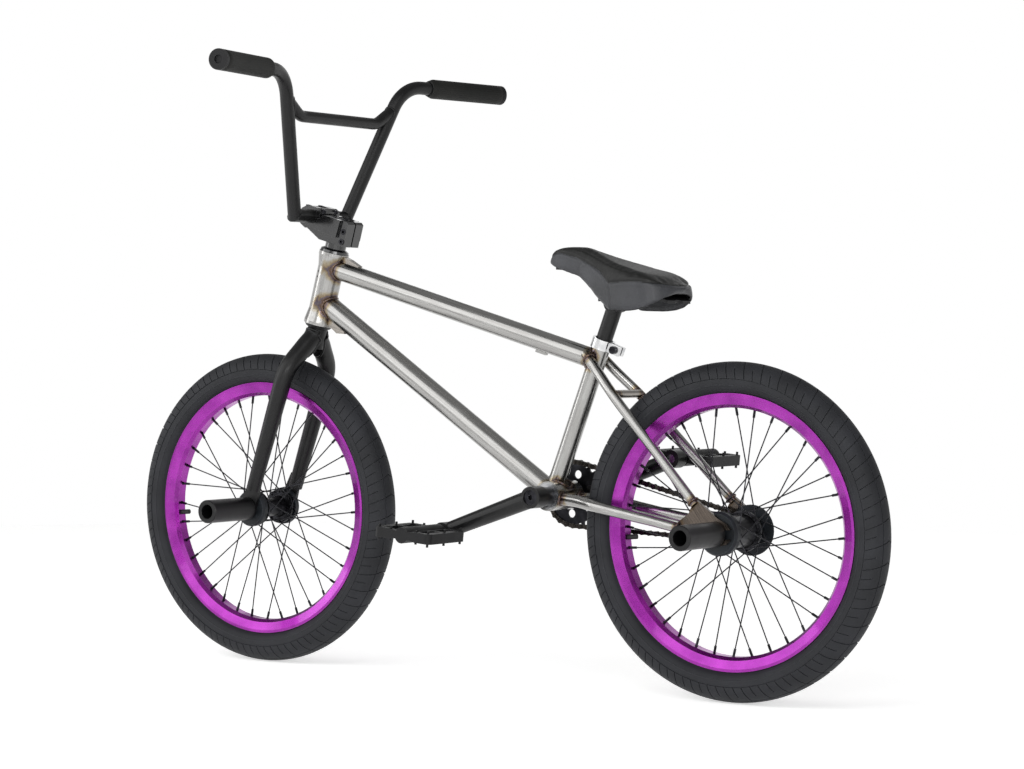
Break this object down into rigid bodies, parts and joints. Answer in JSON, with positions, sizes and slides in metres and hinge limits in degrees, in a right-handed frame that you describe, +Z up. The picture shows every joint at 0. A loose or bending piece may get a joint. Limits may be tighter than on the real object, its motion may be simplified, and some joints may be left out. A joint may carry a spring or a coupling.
{
  "type": "bmx bike",
  "caption": "Freestyle BMX bike with raw steel frame, black fork and high bars, purple rims, left-hand pegs, freecoaster rear hub and pivotal saddle.",
  "frame": {"origin": "on the ground, midway between the two axles", "axes": "+X forward, +Y to the rider's left, +Z up; the wheels' axles lie along Y"},
  "size_m": [1.4068, 0.7786, 0.9832],
  "materials": {
    "raw_steel": "raw brushed steel under clear coat, heat-tinted at the welds",
    "satin_black": "satin black electrophoretic coating",
    "gloss_black": "gloss black",
    "silver_alloy": "polished, clear coated",
    "black_steel": "black oxide",
    "bearing_steel": "ground",
    "purple_anodised": "purple anodised",
    "tyre_rubber": "matte black",
    "soft_rubber": "matte black",
    "black_nylon": "moulded, fine texture",
    "black_leatherette": "fine grain, soft sheen"
  },
  "bodies": {
    "frame": {"head_tube": "raw_steel", "top_tube": "raw_steel", "down_tube": "raw_steel", "seat_tube": "raw_steel", "bb_shell": "raw_steel", "chainstay_left": "raw_steel", "chainstay_right": "raw_steel", "seatstay_left": "raw_steel", "seatstay_right": "raw_steel", "rear_dropouts": "raw_steel", "gussets_and_bridges": "raw_steel", "seat_clamp": "silver_alloy", "seat_clamp_bolt": "black_steel", "headset_bearings": "bearing_steel", "bb_bearings": "bearing_steel", "rear_axle": "black_steel", "rear_axle_nuts": "black_steel", "rear_hub_guards": "black_nylon", "rear_peg": "satin_black", "chain": "black_steel"},
    "fork": {"fork_steerer": "satin_black", "fork_leg_left": "satin_black", "fork_leg_right": "satin_black", "headset_cover": "satin_black", "stem_body": "gloss_black", "stem_cap": "gloss_black", "stem_bolts": "black_steel", "front_axle": "black_steel", "front_axle_nuts": "black_steel", "front_hub_guards": "black_nylon", "front_peg": "satin_black"},
    "handlebar": {"handlebar": "satin_black", "grip_left": "soft_rubber", "grip_right": "soft_rubber", "bar_ends": "black_nylon"},
    "front_wheel": {"front_hub": "gloss_black", "front_hub_bearings": "bearing_steel", "front_spokes": "black_steel", "front_rim": "purple_anodised", "front_tyre": "tyre_rubber", "front_inner_tube": "soft_rubber"},
    "rear_wheel": {"rear_hub": "gloss_black", "rear_hub_bearings": "bearing_steel", "rear_spokes": "black_steel", "rear_rim": "purple_anodised", "rear_tyre": "tyre_rubber", "rear_inner_tube": "soft_rubber"},
    "driver": {"rear_driver": "black_steel"},
    "crank": {"crank_spindle": "gloss_black", "crank_arm_left": "gloss_black", "crank_arm_right": "gloss_black", "sprocket": "gloss_black", "crank_bolts": "black_steel", "pedal_spindles": "black_steel"},
    "pedal_left": {"pedal_left": "black_nylon"},
    "pedal_right": {"pedal_right": "black_nylon"},
    "seat_post": {"seat_post": "satin_black"},
    "seat": {"seat_base": "black_nylon", "seat_pad": "black_leatherette", "seat_bolt": "black_steel"}
  },
  "joints": [
    {"name": "steering", "type": "hinge", "parent": "frame", "child": "fork", "pos_m": [0.3265, 0, 0.624], "axis": [-0.2588, 0, 0.9659], "continuous": true},
    {"name": "bar_roll", "type": "hinge", "parent": "fork", "child": "handlebar", "pos_m": [0.34002, 0, 0.74202], "axis": [0, 1, 0], "range_deg": [-20, 20]},
    {"name": "front_wheel_spin", "type": "hinge", "parent": "fork", "child": "front_wheel", "pos_m": [0.44635, 0, 0.257], "axis": [0, 1, 0], "continuous": true},
    {"name": "rear_wheel_spin", "type": "hinge", "parent": "frame", "child": "rear_wheel", "pos_m": [-0.44635, 0, 0.257], "axis": [0, 1, 0], "continuous": true},
    {"name": "crank_spin", "type": "hinge", "parent": "frame", "child": "crank", "pos_m": [-0.1335, 0, 0.3], "axis": [0, 1, 0], "continuous": true, "deforming": ["chain"]},
    {"name": "driver_spin", "type": "hinge", "parent": "frame", "child": "driver", "pos_m": [-0.44635, 0, 0.257], "axis": [0, 1, 0], "continuous": true},
    {"name": "pedal_left_spin", "type": "hinge", "parent": "crank", "child": "pedal_left", "pos_m": [0.03095, 0.145, 0.24015], "axis": [0, 1, 0], "continuous": true},
    {"name": "pedal_right_spin", "type": "hinge", "parent": "crank", "child": "pedal_right", "pos_m": [-0.29795, -0.145, 0.35985], "axis": [0, 1, 0], "continuous": true},
    {"name": "seat_post_slide", "type": "slide", "parent": "frame", "child": "seat_post", "axis": [-0.3518, 0, 0.9361], "range_m": [-0.035, 0.045]},
    {"name": "seat_tilt", "type": "hinge", "parent": "seat_post", "child": "seat", "pos_m": [-0.23429, 0, 0.60141], "axis": [0, 1, 0], "range_deg": [-12, 12]}
  ],
  "couplings": [
    {"joint": "driver_spin", "follows": "crank_spin", "ratio": 2.7778}
  ]
}
